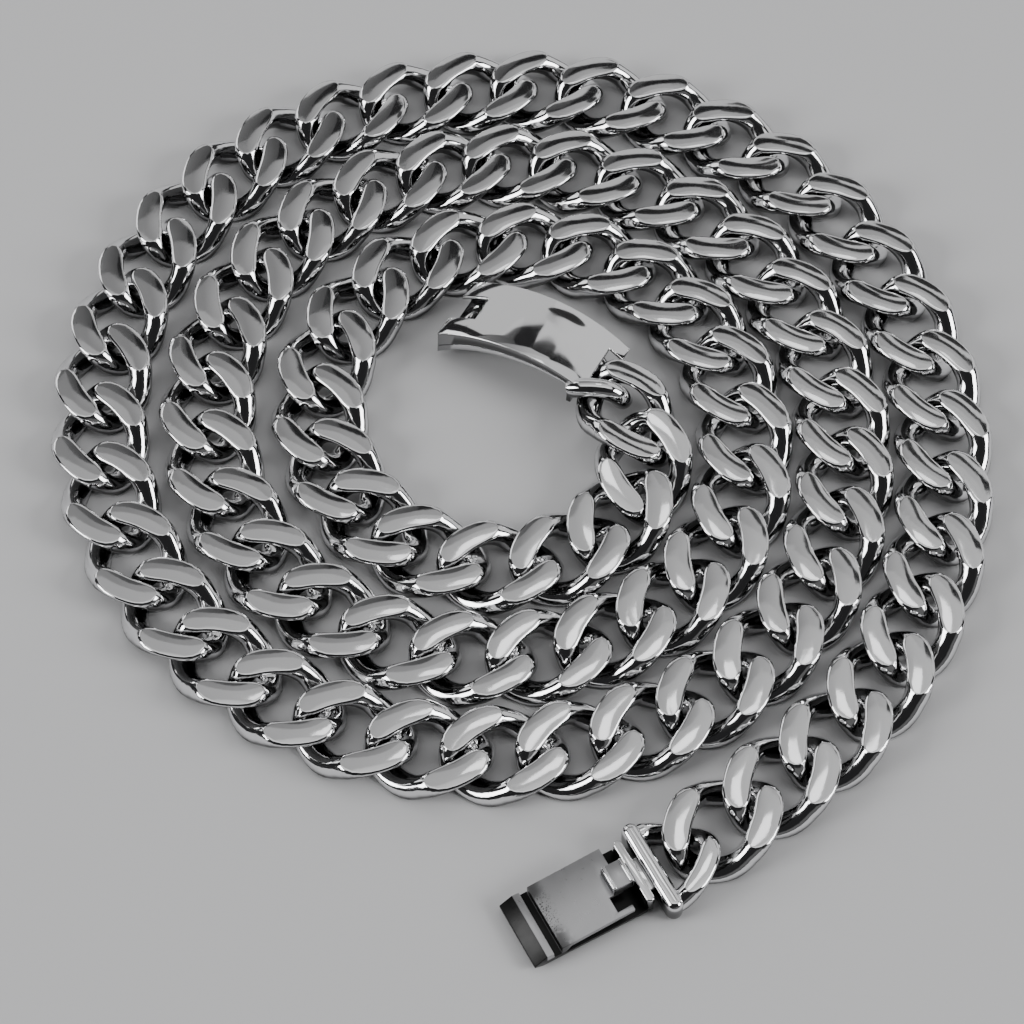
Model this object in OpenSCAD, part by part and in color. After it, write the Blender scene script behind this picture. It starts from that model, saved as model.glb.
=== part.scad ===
// Heavy curb chain necklace with a box clasp, lying open in a spiral.
// Millimetres, +Z up, resting on z = 0, origin in the middle of the outline.

/* [Chain links] */
// Diameter of the wire that each link is bent from
wire_d = 2.75; // [2.5:0.05:2.85]
// Distance from one link to the next along the chain
link_pitch = 8.4; // [8.2:0.1:8.6]
// Width of the chain over its links
chain_w = 11.6; // [11.2:0.1:12]
// Thickness of the chain between its two ground faces
chain_t = 3.6; // [3.2:0.1:4]
// How much further the wire spreads sideways under a ground face
face_spread = 0.2; // [0:0.05:0.25]
// Free play of a link along the chain
link_play = 0.9; // [0.6:0.1:1.1]
// Air between two wires where one link crosses another
weave_gap = 0.45; // [0.4:0.05:0.6]

/* [Half links of the clasp] */
// Diameter of the rounded wire of a half link
half_wire_d = 2.4; // [2.2:0.1:2.6]
// Width of the half link on the box
box_link_w = 9.2; // [9:0.1:9.4]
// Turn of the box's half link about the box's length
box_link_roll = 13; // [11:1:15]

/* [Box of the clasp] */
// Length of the box along its chord
box_l = 21.4; // [20.8:0.2:22]
// Width of the box in its middle
box_w = 9.5; // [9:0.1:10]
// How much narrower each side is at the ends of the box
box_waist = 0.1; // [0.05:0.05:0.3]
// Thickness of the box at its mouth
box_mouth_h = 3.6; // [3.4:0.1:4]
// Rise of the crowned plate above its chord
box_rise = 3.1; // [2.9:0.1:3.3]
// Thickness of the sheet metal of the box
box_sheet = 0.45; // [0.4:0.05:0.6]
// Width of the thumb notch in the box's plate
notch_w = 3.6; // [3.2:0.1:4]
// Depth of the thumb notch
notch_l = 3.6; // [3.2:0.1:4]

/* [Tongue of the clasp] */
// Distance from the tongue's half link to its tip
tongue_l = 17.5; // [16.5:0.1:18]
// Thickness of the strip that is folded into the leaf
leaf_t = 0.6; // [0.5:0.05:0.7]
// Clearance between the leaf and the walls of the box, each side
leaf_clear = 0.15; // [0.1:0.05:0.25]
// Width of the shoulder bar
shoulder_w = 11.6; // [11:0.1:12]
// Thickness of the shoulder bar along the chain
shoulder_t = 2; // [1.8:0.1:2.4]
// Height of the shoulder bar
shoulder_h = 3.6; // [3.4:0.1:4]
// Clearance between the thumb tab and the sides of its notch
tab_clear = 0.3; // [0.2:0.05:0.5]

/* [Hidden] */
$fn = 64;

// Route of the chain from the tongue to the box, chosen by hand.
// Columns: across, away, lift above lying flat, roll about the chain in degrees.
ROUTE = [
    [15.5, -50.5, 0, 0], [22.5, -45.5, 0, 0], [41, -28, 0, 0], [50, -5, 0, 0],
    [48, 20, 0, 0], [34.3, 42.3, 0, 0], [12, 55, 0, 0], [-13, 55, 0, 0],
    [-35.5, 43.5, 0, 0], [-48.5, 21.5, 0, 0], [-48, -4, 0, 0], [-33.5, -25.5, 0, 0],
    [-10, -36.5, 0, 0], [15, -33.5, 0, 0], [33.5, -17, 0, 0], [38.7, 6.5, 0, 0],
    [29.5, 29.5, 0, 0], [8.5, 43.3, 0, 0], [-16, 41.5, 0, 0], [-33.5, 25, 0, 0],
    [-36, 0.5, 0, 0], [-21.5, -19.5, 0, 0], [3.5, -24.5, 0, 0], [23, -11.5, 0, 0],
    [25.5, 12.5, 0, 0], [10, 30.2, 0, 0], [-13.5, 28.5, 0, 0], [-23.7, 7, 0, 0],
    [-10.3, -11.5, 0, 0], [6, -11.4, 0.1, 0], [12, -6.6, 0.3, -2], [14.8, 0, 0.9, 5],
    [13.2, 6.6, 1.6, 12.5], [8.5, 11.6, 1.7, 26]
];
// Where the half link of the box sits: across, away, lift above lying flat.
// The box lies at this roll, pitch and yaw, in degrees.
BOX_AT = [9.05, 12.95, 1.9];
BOX_TURN = [6.5, 1, 152.5];
// Turn of the tongue about the vertical
TONGUE_YAW = 28.5;
// Middle of the whole outline in the route's own columns, where the origin goes
MIDDLE = [0.35, 0.15, 0];

// Link: half length, half width and twist of the wire's centre line
wire_r = wire_d / 2;
half_l = (link_pitch + wire_d + link_play) / 2;
half_w = (chain_w - wire_d) / 2;
twist_h = wire_r + weave_gap;
face_z = chain_t / 2;
corner_l = 0.03;
corner_w = 0.05;

// Places along the wire of a link, in degrees: finer over the upper ground faces
STATIONS = [0, 28, 62, 90, 112, 135, 158, 180, 208, 242, 270, 292, 315, 338];
WIRE_SIDES = 6;
HALF_SIDES = 10;
HALF_STEP = 15;
ROUTE_STEPS = 16;

// Centre line of a link's wire at the angle t
function wire_line(t, a, b, h) = [
    a * (cos(t) + corner_l * cos(3 * t)) / (1 + corner_l),
    b * (sin(t) - corner_w * sin(3 * t)) / (1 + corner_w),
    -h * sin(2 * t)
];
function unit(v) = v / norm(v);
function wire_dir(t, a, b, h) = unit(wire_line(t + 0.05, a, b, h) - wire_line(t - 0.05, a, b, h));

// One ring of points round the wire at the angle t, cut flat at z = face
function wire_ring(t, a, b, h, r, spread, face, sides) =
    let (
        p = wire_line(t, a, b, h),
        d = wire_dir(t, a, b, h),
        u = unit(cross(d, [0, 0, 1])),
        v = cross(u, d),
        wide = r * (1 + spread * abs(sin(2 * t)))
    )
    [for (j = [0 : sides - 1])
        let (q = p + wide * cos(360 * j / sides) * u + r * sin(360 * j / sides) * v)
        [q[0], q[1], max(-face, min(face, q[2]))]];

// Triangles between rings i and next, each with the same number of points
function band(i, next, sides) = [
    for (j = [0 : sides - 1])
        let (k = (j + 1) % sides)
        each [
            [i * sides + j, i * sides + k, next * sides + k],
            [i * sides + j, next * sides + k, next * sides + j]
        ]
];

// Route: a smooth curve through the chosen points, with tangents weighted by spacing
last = len(ROUTE) - 1;
function flat(p) = [p[0], p[1]];
function route_before(i) = i > 0 ? ROUTE[i - 1] : 2 * ROUTE[0] - ROUTE[1];
function route_after(i) = i + 2 <= last ? ROUTE[i + 2] : 2 * ROUTE[last] - ROUTE[last - 1];
// Direction at q between its neighbours, the nearer one counting more
function heading(p, q, s) =
    let (
        g = norm(flat(q) - flat(p)),
        w = norm(flat(s) - flat(q)),
        m = ((q - p) / g * w + (s - q) / w * g) / (g + w)
    )
    m / norm(flat(m));
// Tangent for a stretch of chord g, long enough that an even bend stays round
function tangent(head, chord, g) = head * g * 2 / (1 + flat(head) * chord);
function route_point(i, u) =
    let (
        p = ROUTE[i],
        q = ROUTE[i + 1],
        g = norm(flat(q) - flat(p)),
        chord = (flat(q) - flat(p)) / g,
        m = tangent(heading(route_before(i), p, q), chord, g),
        n = tangent(heading(p, q, route_after(i)), chord, g),
        at = (2 * u ^ 3 - 3 * u ^ 2 + 1) * p + (u ^ 3 - 2 * u ^ 2 + u) * m
            + (3 * u ^ 2 - 2 * u ^ 3) * q + (u ^ 3 - u ^ 2) * n
    )
    [at[0], at[1], max(0, at[2]), at[3]];

// Length along a stretch, as pairs of length and share of the stretch
function lengths(i, k = 0, sum = 0, out = []) =
    k > ROUTE_STEPS ? out :
    let (
        here = route_point(i, k / ROUTE_STEPS),
        back = route_point(i, max(k - 1, 0) / ROUTE_STEPS),
        now = sum + norm([here[0] - back[0], here[1] - back[1], here[2] - back[2]])
    )
    lengths(i, k + 1, now, concat(out, [[now, k / ROUTE_STEPS]]));

// Direction of the route at the share u of stretch i, also just past its ends
function route_any(i, u) =
    u < 0 ? (i > 0 ? route_point(i - 1, 1 + u) : ROUTE[0]) :
    u > 1 ? (i < last - 1 ? route_point(i + 1, u - 1) : ROUTE[last]) :
    route_point(i, u);

// Place of a link: its middle, and its roll, pitch and yaw
function link_place(i, u) =
    let (
        p = route_point(i, u),
        d = route_any(i, u + 0.02) - route_any(i, u - 0.02)
    )
    [[p[0], p[1], p[2] + face_z], [p[3], -atan2(d[2], norm(flat(d))), atan2(d[1], d[0])]];

// Every stretch holds a whole number of links, evenly spaced
function stretch_links(i) =
    let (table = lengths(i), total = table[ROUTE_STEPS][0], n = max(1, round(total / link_pitch)))
    [for (k = [0 : n - 1]) link_place(i, lookup(total * k / n, table))];

all_places = [for (i = [0 : last - 1]) each stretch_links(i)];
// The first place is the half link of the tongue, the rest are whole links
links = [for (k = [1 : len(all_places) - 1]) all_places[k]];
chain_split = floor(len(links) / 2);

module link() {
    rings = [for (t = STATIONS)
        wire_ring(t, half_l, half_w, twist_h, wire_r, face_spread, face_z, WIRE_SIDES)];
    count = len(STATIONS);
    polyhedron(
        points = [for (ring = rings) each ring],
        faces = [for (i = [0 : count - 1]) each band(i, (i + 1) % count, WIRE_SIDES)],
        convexity = 6
    );
}

module chain_run(first, past) {
    for (k = [first : past - 1])
        translate(links[k][0] - MIDDLE) rotate(links[k][1]) link();
}

module chain_outer() {
    color("silver") chain_run(0, chain_split);
}

module chain_inner() {
    color("silver") chain_run(chain_split, len(links));
}

// Half a link of round wire between the angles from and to, with straight tails
module half_link(from, to, b, face, tail) {
    r = half_wire_d / 2;
    h = twist_h * half_wire_d / wire_d;
    steps = round((to - from) / HALF_STEP);
    bend = [for (k = [0 : steps])
        wire_ring(from + (to - from) * k / steps, half_l, b, h, r, 0, face, HALF_SIDES)];
    rings = concat(
        [[for (q = bend[0]) q + [tail, 0, 0]]],
        bend,
        [[for (q = bend[steps]) q + [tail, 0, 0]]]
    );
    count = len(rings);
    polyhedron(
        points = [for (ring = rings) each ring],
        faces = concat(
            [for (i = [0 : count - 2]) each band(i, i + 1, HALF_SIDES)],
            [[for (j = [HALF_SIDES - 1 : -1 : 0]) j]],
            [[for (j = [0 : HALF_SIDES - 1]) (count - 1) * HALF_SIDES + j]]
        ),
        convexity = 4
    );
}

// Box: its own frame has X along the chain with 0 at the half link, Y to the left
box_x0 = -2.6;
box_x1 = box_x0 + box_l;
box_mid = (box_x0 + box_x1) / 2;
box_end_z = 0.75;
// End plate that closes the box and carries the half link
end_x = 0.7;
end_t = 0.6;
end_low = 1.7;
// Where the half link sits on the end plate, turned a little off the box's length
BOX_LINK_AT = [1.1, 1.1, -0.4];
BOX_LINK_YAW = -8;
BOX_LINK_FROM = 100;
BOX_LINK_ROOT = 0.3;
// The roof ends here, but for a wing on the far side
roof_x0 = -0.8;
wing_w = 2.1;
// Upper arc over the chord, from its rise
top_r = (box_l ^ 2 / 4 + box_rise ^ 2) / (2 * box_rise);
top_z = box_end_z + box_rise - top_r;
// Lower arc, so that the box is thin over the half link and thicker at the mouth
under_shift = 2;
under_mid = box_mid - under_shift;
under_r = 19.5;
mouth_z = box_end_z - box_mouth_h;
under_z = mouth_z - sqrt(under_r ^ 2 - (box_x1 - under_mid) ^ 2);
notch_y = 0;

// Outline of the box seen from above, drawn in by the width of the sheet
module box_plan(inset, from, to) {
    half = box_w / 2 - inset;
    bow = (box_l ^ 2 / 4 + box_waist ^ 2) / (2 * box_waist);
    intersection() {
        translate([box_mid, half - bow]) circle(r = bow, $fn = 200);
        translate([box_mid, bow - half]) circle(r = bow, $fn = 200);
        translate([from, -half]) square([to - from, 2 * half]);
    }
}

module along_y(x, z, r) {
    translate([x, 0, z]) rotate([90, 0, 0]) cylinder(r = r, h = 3 * box_w, center = true, $fn = 180);
}

// Bent slab between the two arcs, drawn in by the same width
module box_slab(inset, from, to) {
    difference() {
        intersection() {
            translate([0, 0, -box_w]) linear_extrude(3 * box_w) box_plan(inset, from, to);
            along_y(box_mid, top_z, top_r - inset);
        }
        along_y(under_mid, under_z, under_r + inset);
    }
}

module box_shell() {
    wide = 2 * box_w;
    difference() {
        box_slab(0, box_x0, box_x1);
        // Cavity for the folded leaf, open at the mouth
        box_slab(box_sheet, end_x + end_t, box_x1 + 1);
        // Under the roof the last link has room
        intersection() {
            translate([box_x0 - 1, -box_w, -box_w]) cube([end_x - box_x0 + 1, wide, 2 * wide]);
            along_y(box_mid, top_z, top_r - box_sheet);
        }
        translate([box_x0 - 1, wing_w - box_w / 2, -box_w])
            cube([roof_x0 - box_x0 + 1, wide, 2 * wide]);
        // Thumb notch in the plate
        translate([box_x1 - notch_l, notch_y - notch_w / 2, mouth_z + box_mouth_h / 2])
            cube([notch_l + 1, notch_w, box_rise + box_mouth_h]);
    }
    // End plate, down to the lower limb of the half link
    intersection() {
        translate([0, 0, -end_low]) linear_extrude(box_w) box_plan(0, end_x, end_x + end_t);
        along_y(box_mid, top_z, top_r);
    }
}

module clasp_box() {
    color("silver") translate(BOX_AT - MIDDLE + [0, 0, face_z]) rotate(BOX_TURN) {
        box_shell();
        translate(BOX_LINK_AT) rotate([box_link_roll, 0, BOX_LINK_YAW])
            half_link(BOX_LINK_FROM, 270, (box_link_w - half_wire_d) / 2, chain_t, BOX_LINK_ROOT);
    }
}

// Tongue: its own frame has X along the chain with 0 at the half link, z = 0 below
leaf_w = box_w - 2 * (box_waist + box_sheet + leaf_clear);
leaf_z = 0.3;
leaf_end = -5.1;
// The strip lies a little off the middle of the shoulder bar
leaf_y = 0.6;
groove_l = 1;
ridge_l = 0.9;
nose_l = 1.5;
ridge_x = nose_l - tongue_l;
leaf_x0 = ridge_x + ridge_l + groove_l;
leaf_rise = 2.5;
leaf_end_rise = 2.8;
collar_t = 1;
collar_gap = 0.5;
collar_h = 2.7;
neck_h = 2.1;
neck_w = leaf_w / 2;
collar_x = -shoulder_t - collar_gap - collar_t;
tab_w = notch_w - 2 * tab_clear;
tab_y = leaf_y + notch_y - tab_w / 2;
tab_l = 2.6;
tab_h = 1.2;
tab_ridge = 0.5;
hole_l = 1.8;
hole_w = 1.9;

// Tip of the strip, between these heights above its underside
tip_low = 0.5;
tip_high = 0.9;
// The ridge lies a little lower than the leaf, and the groove's floor much lower
ridge_drop = 0.3;
groove_drop = 1.2;
ridge_z = leaf_rise - ridge_drop;
groove_z = leaf_rise - groove_drop;
// Bend inside the fold, from the groove's wall
fold_low = 0.4;
fold_high = 1.2;
fold_low_x = leaf_x0 + fold_low;
fold_high_x = leaf_x0 + fold_high;
// The strip runs a little way into the collar
seat = 0.1;

// Folded strip seen from the side
module leaf_profile() {
    polygon([
        [collar_x + seat, leaf_z], [ridge_x - tip_low, leaf_z], [-tongue_l, leaf_z + tip_low],
        [-tongue_l, leaf_z + tip_high], [ridge_x, ridge_z], [ridge_x + ridge_l, ridge_z],
        [ridge_x + ridge_l, groove_z], [leaf_x0, groove_z], [leaf_x0, leaf_rise],
        [leaf_end, leaf_z + leaf_end_rise], [leaf_end, leaf_z + leaf_end_rise - leaf_t],
        [fold_high_x, leaf_rise - leaf_t], [fold_low_x, leaf_z + leaf_t],
        [collar_x + seat, leaf_z + leaf_t]
    ]);
}

// Bar across the chain with round ends
module rounded_bar(x, len_x, wide, low, high) {
    for (side = [-1, 1])
        translate([x + len_x / 2, side * (wide / 2 - len_x / 2), low])
            cylinder(d = len_x, h = high - low);
    translate([x, -wide / 2 + len_x / 2, low]) cube([len_x, wide - len_x, high - low]);
}

module thumb_tab() {
    base = leaf_z + leaf_end_rise - leaf_t / 2;
    translate([leaf_end - tab_l / 2, tab_y, base]) cube([tab_l, tab_w, leaf_t / 2 + tab_h]);
    for (x = [leaf_end - tab_l / 2, leaf_end + tab_l / 2 - tab_ridge])
        translate([x, tab_y, base]) cube([tab_ridge, tab_w, leaf_t / 2 + tab_h + tab_ridge / 2]);
}

module clasp_tongue() {
    start = [ROUTE[0][0], ROUTE[0][1], 0];
    color("silver") translate(start - MIDDLE) rotate([0, 0, TONGUE_YAW]) {
        difference() {
            translate([0, leaf_y + leaf_w / 2, 0])
                rotate([90, 0, 0]) linear_extrude(leaf_w) leaf_profile();
            // Window beside the thumb tab, in the upper leaf only
            translate([leaf_end - hole_l, tab_y - hole_w, leaf_z + 2 * leaf_t])
                cube([hole_l + 1, hole_w, leaf_end_rise]);
        }
        thumb_tab();
        rounded_bar(-shoulder_t, shoulder_t, shoulder_w, 0, shoulder_h);
        translate([collar_x, leaf_y - leaf_w / 2, leaf_z]) cube([collar_t, leaf_w, collar_h]);
        // Neck between the collar and the shoulder bar
        translate([collar_x, -neck_w / 2, leaf_z])
            cube([collar_t + collar_gap + shoulder_t / 2, neck_w, neck_h]);
        translate([0, 0, face_z]) half_link(-90, 90, half_w, face_z, -1);
    }
}

chain_outer();
chain_inner();
clasp_box();
clasp_tongue();
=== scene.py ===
# %% [markdown]
# # A heavy curb chain with a box clasp
#
# The necklace lies open in a flat spiral. It has four pieces: the outer and the inner
# half of the chain, the box of the clasp and its tongue. The solid model of these four
# already fixes every size and place. Here they get the round wire, the ground faces,
# the bevels and the polish that a jeweller would give them.
#
# All lengths are in metres, as Blender counts them.

import math

import bmesh
import bpy
import numpy as np
from mathutils import Matrix, Vector


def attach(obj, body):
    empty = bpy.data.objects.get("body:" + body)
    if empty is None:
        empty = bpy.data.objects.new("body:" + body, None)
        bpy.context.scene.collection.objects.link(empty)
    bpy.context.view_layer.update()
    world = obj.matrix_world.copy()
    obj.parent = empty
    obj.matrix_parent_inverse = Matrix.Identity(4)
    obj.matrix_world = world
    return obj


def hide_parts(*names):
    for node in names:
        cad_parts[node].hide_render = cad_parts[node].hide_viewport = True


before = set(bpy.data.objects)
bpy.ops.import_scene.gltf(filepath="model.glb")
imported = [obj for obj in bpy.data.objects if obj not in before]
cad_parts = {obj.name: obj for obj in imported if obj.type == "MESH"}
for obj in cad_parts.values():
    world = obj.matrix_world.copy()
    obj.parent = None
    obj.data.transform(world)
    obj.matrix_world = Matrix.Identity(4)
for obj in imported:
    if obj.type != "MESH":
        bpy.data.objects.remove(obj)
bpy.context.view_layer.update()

# %% [markdown]
# ## The route of the chain
#
# The links follow a route that was chosen from the photograph. Each row is a point that the chain passes,
# and every stretch between two points holds a whole number of links. We could place 87 links by hand, or
# let Blender's Follow Path do it. A small curve of our own is better here: it puts each link exactly where
# the solid model has it.

# %% The route: across, away, lift above lying flat, and roll in degrees
ROUTE = np.array([
    (0.0155, -0.0505, 0, 0), (0.0225, -0.0455, 0, 0), (0.041, -0.028, 0, 0), (0.050, -0.005, 0, 0),
    (0.048, 0.020, 0, 0), (0.0343, 0.0423, 0, 0), (0.012, 0.055, 0, 0), (-0.013, 0.055, 0, 0),
    (-0.0355, 0.0435, 0, 0), (-0.0485, 0.0215, 0, 0), (-0.048, -0.004, 0, 0), (-0.0335, -0.0255, 0, 0),
    (-0.010, -0.0365, 0, 0), (0.015, -0.0335, 0, 0), (0.0335, -0.017, 0, 0), (0.0387, 0.0065, 0, 0),
    (0.0295, 0.0295, 0, 0), (0.0085, 0.0433, 0, 0), (-0.016, 0.0415, 0, 0), (-0.0335, 0.025, 0, 0),
    (-0.036, 0.0005, 0, 0), (-0.0215, -0.0195, 0, 0), (0.0035, -0.0245, 0, 0), (0.023, -0.0115, 0, 0),
    (0.0255, 0.0125, 0, 0), (0.010, 0.0302, 0, 0), (-0.0135, 0.0285, 0, 0), (-0.0237, 0.007, 0, 0),
    (-0.0103, -0.0115, 0, 0), (0.006, -0.0114, 0.0001, 0), (0.012, -0.0066, 0.0003, -2),
    (0.0148, 0, 0.0009, 5), (0.0132, 0.0066, 0.0016, 12.5), (0.0085, 0.0116, 0.0017, 26),
])
MIDDLE = np.array([0.00035, 0.00015, 0])
print("a route through", len(ROUTE), "points")

# %% The direction at each point of the route
def heading(before, here, after):
    """Direction at a point, where the nearer neighbour counts more."""
    come = np.linalg.norm(here[:2] - before[:2])
    go = np.linalg.norm(after[:2] - here[:2])
    mean = ((here - before) / come * go + (after - here) / go * come) / (come + go)
    return mean / np.linalg.norm(mean[:2])


def route_row(i):
    """A row of the route, carried on in a straight line past either end."""
    if i < 0:
        return 2 * ROUTE[0] - ROUTE[1]
    if i >= len(ROUTE):
        return 2 * ROUTE[-1] - ROUTE[-2]
    return ROUTE[i]


print("the chain sets out towards", heading(route_row(-1), ROUTE[0], ROUTE[1])[:2].round(3))

# %% Points along one stretch
def route_point(i, u):
    """The point at the share u of stretch i, also a little past its ends."""
    if u < 0:
        return route_point(i - 1, 1 + u) if i > 0 else ROUTE[0]
    if u > 1:
        return route_point(i + 1, u - 1) if i < len(ROUTE) - 2 else ROUTE[-1]
    p = ROUTE[i]
    q = ROUTE[i + 1]
    chord = q[:2] - p[:2]
    length = np.linalg.norm(chord)
    chord = chord / length
    leave = heading(route_row(i - 1), p, q)
    arrive = heading(p, q, route_row(i + 2))
    m = leave * length * 2 / (1 + leave[:2] @ chord)
    n = arrive * length * 2 / (1 + arrive[:2] @ chord)
    point = ((2 * u**3 - 3 * u**2 + 1) * p + (u**3 - 2 * u**2 + u) * m
             + (3 * u**2 - 2 * u**3) * q + (u**3 - u**2) * n)
    point[2] = max(0, point[2])
    return point


print("half way along the first stretch:", route_point(0, 0.5)[:2].round(4))

# %% Sizes of a link
LINK_PITCH = 0.0084
CHAIN_T = 0.0036
CHAIN_W = 0.0116
WIRE_D = 0.00275
LINK_PLAY = 0.0009
WEAVE_GAP = 0.00045
FACE_Z = CHAIN_T / 2
HALF_L = (LINK_PITCH + WIRE_D + LINK_PLAY) / 2
HALF_W = (CHAIN_W - WIRE_D) / 2
TWIST_H = WIRE_D / 2 + WEAVE_GAP
print("wire loop", round(2 * HALF_L, 5), "long and", round(2 * HALF_W, 5), "wide along its middle")

# %% Places of the links
ROUTE_STEPS = 16
AHEAD = 0.02


def turn(roll, pitch, yaw):
    """Rotation by roll, then pitch, then yaw, in degrees."""
    return np.array(
        Matrix.Rotation(math.radians(yaw), 3, "Z")
        @ Matrix.Rotation(math.radians(pitch), 3, "Y")
        @ Matrix.Rotation(math.radians(roll), 3, "X")
    )


def link_places():
    """Middle and rotation of every link, with whole links in every stretch."""
    places = []
    for i in range(len(ROUTE) - 1):
        shares = np.linspace(0, 1, ROUTE_STEPS + 1)
        walk = np.array([route_point(i, u)[:3] for u in shares])
        sums = np.concatenate([[0], np.cumsum(np.linalg.norm(np.diff(walk, axis=0), axis=1))])
        count = max(1, round(sums[-1] / LINK_PITCH))
        for k in range(count):
            u = np.interp(sums[-1] * k / count, sums, shares)
            p = route_point(i, u)
            d = route_point(i, u + AHEAD) - route_point(i, u - AHEAD)
            pitch = -math.degrees(math.atan2(d[2], np.linalg.norm(d[:2])))
            yaw = math.degrees(math.atan2(d[1], d[0]))
            places.append((p[:3] + [0, 0, FACE_Z] - MIDDLE, turn(p[3], pitch, yaw)))
    return places


# The first place belongs to the half link of the tongue.
links = link_places()[1:]
half_way = len(links) // 2
print(len(links), "whole links,", half_way, "of them in the outer half")

# %% [markdown]
# ## One link
#
# A curb link is a round wire bent to a long loop and then twisted, so that it lies flat
# in the chain. Afterwards the whole chain is ground on both sides, which leaves two flat
# faces on top of each link and two below. We could sweep a tube and cut it with a
# Boolean, but the cut would leave a ragged edge. Instead each ring round the wire is
# drawn already cut: a straight chord where the stone passed, a small rounded rim, and
# the rest of the circle. The rims then run along the mesh and catch the light as a thin
# bright line, which is what the eye reads as polished metal.
#
# A face that was polished by hand is never quite flat. These stand a hair higher in the
# middle, so that each one mirrors a stretch of the room with its lights and darks.

# %% The wire's centre line
CORNER_L = 0.03
CORNER_W = 0.05
TINY_TURN = 0.001


def wire_line(t, a, b, h):
    """Point of the bent and twisted centre line at the angle t, in radians."""
    return np.array([
        a * (math.cos(t) + CORNER_L * math.cos(3 * t)) / (1 + CORNER_L),
        b * (math.sin(t) - CORNER_W * math.sin(3 * t)) / (1 + CORNER_W),
        -h * math.sin(2 * t),
    ])


def wire_axes(t, a, b, h):
    """Point, sideways direction and upward direction of the wire at t."""
    d = wire_line(t + TINY_TURN, a, b, h) - wire_line(t - TINY_TURN, a, b, h)
    d = d / np.linalg.norm(d)
    side = np.cross(d, [0, 0, 1])
    side = side / np.linalg.norm(side)
    return wire_line(t, a, b, h), side, np.cross(side, d)


print("the wire's end bend is at", wire_line(0, HALF_L, HALF_W, TWIST_H).round(5))

# %% Where a ground face cuts the wire, and the soft rim along the cut
RIM = 0.00036
RIM_SHARE = 0.45
RIM_PARTS = 4


def cut_angle(p, up, r, face):
    """Angle on the ring at which the plane z = face cuts it, or 90 degrees if it misses."""
    return math.asin(min(1.0, (face - p[2]) / (r * up[2])))


def rounded(start, corner, stop):
    """Points between start and stop on a soft curve that heads for the corner."""
    shares = [k / RIM_PARTS for k in range(1, RIM_PARTS)]
    return [(1 - s) ** 2 * start + 2 * s * (1 - s) * corner + s**2 * stop for s in shares]


print("a rim of", RIM, "in", RIM_PARTS, "steps")

# %% One ring, cut by the ground faces
FACE_SPREAD = 0.2
FACE_PARTS = 2
FACE_CROWN = 0.00004
FACE_DOME = 0.00009
ARC_PARTS = 10


def ring_points(t, a, b, h, r, spread, face):
    """Closed ring: upper face, rim, arc, lower rim, lower face and back up the other side."""
    p, side, up = wire_axes(t, a, b, h)
    wide = r * (1 + spread * abs(math.sin(2 * t)))

    def at(across, height):
        return p + across * side + height * up

    def half_ring(sign):
        """The ground chord on one side, crowned across and, on top, domed along the face."""
        angle = cut_angle(p * [1, 1, sign], up, r, face)
        reach = wide * math.cos(angle)
        level = r * math.sin(angle)
        rim = min(RIM, RIM_SHARE * reach)
        ground = max(0.0, sign * p[2] + r * up[2] - face)
        lift = FACE_DOME * ground / abs(h + r - face) if sign > 0 else 0.0
        chord = []
        for k in range(FACE_PARTS + 1):
            c = (reach - rim) * (2 * k / FACE_PARTS - 1)
            point = at(c, sign * level)
            point[2] += lift - sign * FACE_CROWN * (c / wide) ** 2
            chord.append(point)
        return angle - rim / r, chord, at(reach, sign * level), at(-reach, sign * level)

    def arc(start, stop, sign):
        steps = np.linspace(start, stop, ARC_PARTS + 1)
        return [at(sign * wide * math.cos(s), r * math.sin(s)) for s in steps]

    high, top, top_right, top_left = half_ring(1)
    low, floor, low_right, low_left = half_ring(-1)
    right = arc(high, -low, 1)
    left = arc(-low, high, -1)
    return (
        top + rounded(top[-1], top_right, right[0])
        + right + rounded(right[-1], low_right, floor[-1])
        + floor[::-1] + rounded(floor[0], low_left, left[0])
        + left + rounded(left[-1], top_left, top[0])
    )


sample = ring_points(0, HALF_L, HALF_W, TWIST_H, WIRE_D / 2, FACE_SPREAD, FACE_Z)
print("one ring has", len(sample), "points")

# %% Rings along the wire: close together where a ground face begins and ends
FACE_RINGS = 12
BEND_RINGS = 5
SEARCH_STEPS = 721


def face_ends(first, last, a, b, h, r, face):
    """Angles at which a ground face begins and ends between two angles."""
    angles = np.linspace(first, last, SEARCH_STEPS)
    cut = []
    for t in angles:
        p, side, up = wire_axes(t, a, b, h)
        cut.append(abs(p[2]) + r * up[2] > face)
    inside = angles[np.array(cut)]
    return inside[0], inside[-1]


def ring_angles(quarters, a, b, h, r, face):
    """Angles of the rings over the named quarters of the loop."""
    out = []
    for q in quarters:
        first = math.radians(90 * q)
        last = math.radians(90 * (q + 1))
        begin, end = face_ends(first, last, a, b, h, r, face)
        middle = (begin + end) / 2
        half = (end - begin) / 2
        out += list(np.linspace(first, begin, BEND_RINGS)[:-1])
        out += [middle - half * math.cos(math.pi * k / FACE_RINGS) for k in range(FACE_RINGS + 1)]
        out += list(np.linspace(end, last, BEND_RINGS)[1:-1])
    return out


LINK_SIZE = (HALF_L, HALF_W, TWIST_H, WIRE_D / 2)
link_angles = ring_angles(range(4), *LINK_SIZE, FACE_Z)
print(len(link_angles), "rings round the loop")

# %% From rings to a mesh
POLISH = 0
GROUND = 1
WELD = 1e-7


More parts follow.
